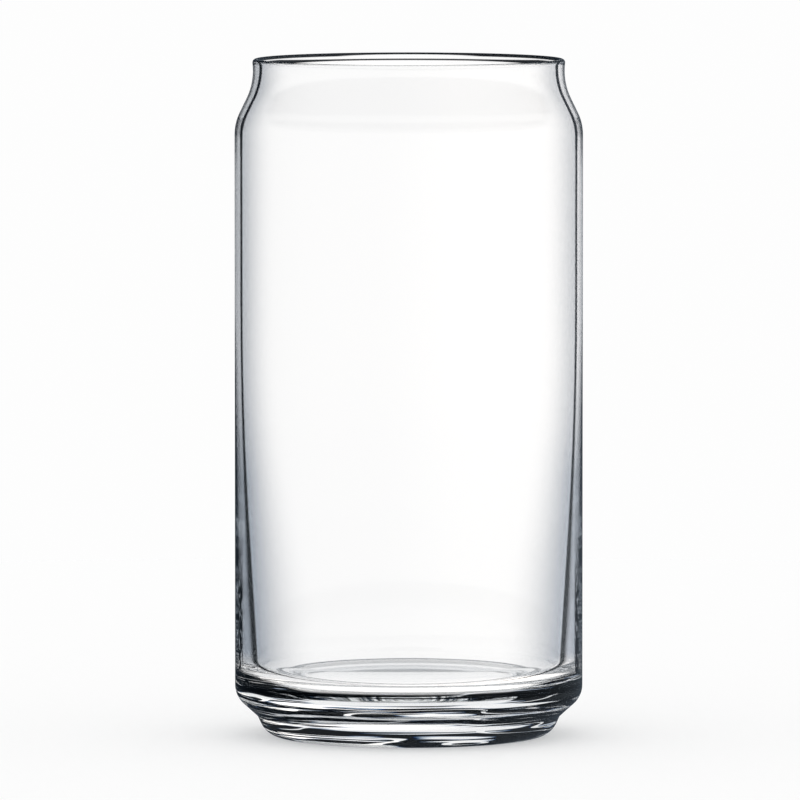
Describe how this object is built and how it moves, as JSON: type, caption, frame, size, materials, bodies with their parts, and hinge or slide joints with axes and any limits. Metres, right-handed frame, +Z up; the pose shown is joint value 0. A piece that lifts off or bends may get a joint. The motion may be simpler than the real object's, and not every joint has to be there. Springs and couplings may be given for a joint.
{
  "type": "can shaped drinking glass",
  "caption": "Clear drinking glass in the shape of a drinks can: straight side, short shoulder, wide open mouth with a rounded rim, thick base on a stepped foot ring.",
  "frame": {"origin": "centre of the resting ring, on the plane the glass stands on", "axes": "+Z up along the glass's axis, out of the mouth; X and Y are free, because the glass is round"},
  "size_m": [0.076, 0.076, 0.148],
  "materials": {
    "glass": "polished"
  },
  "bodies": {
    "root": {"can_glass": "glass"}
  },
  "joints": []
}
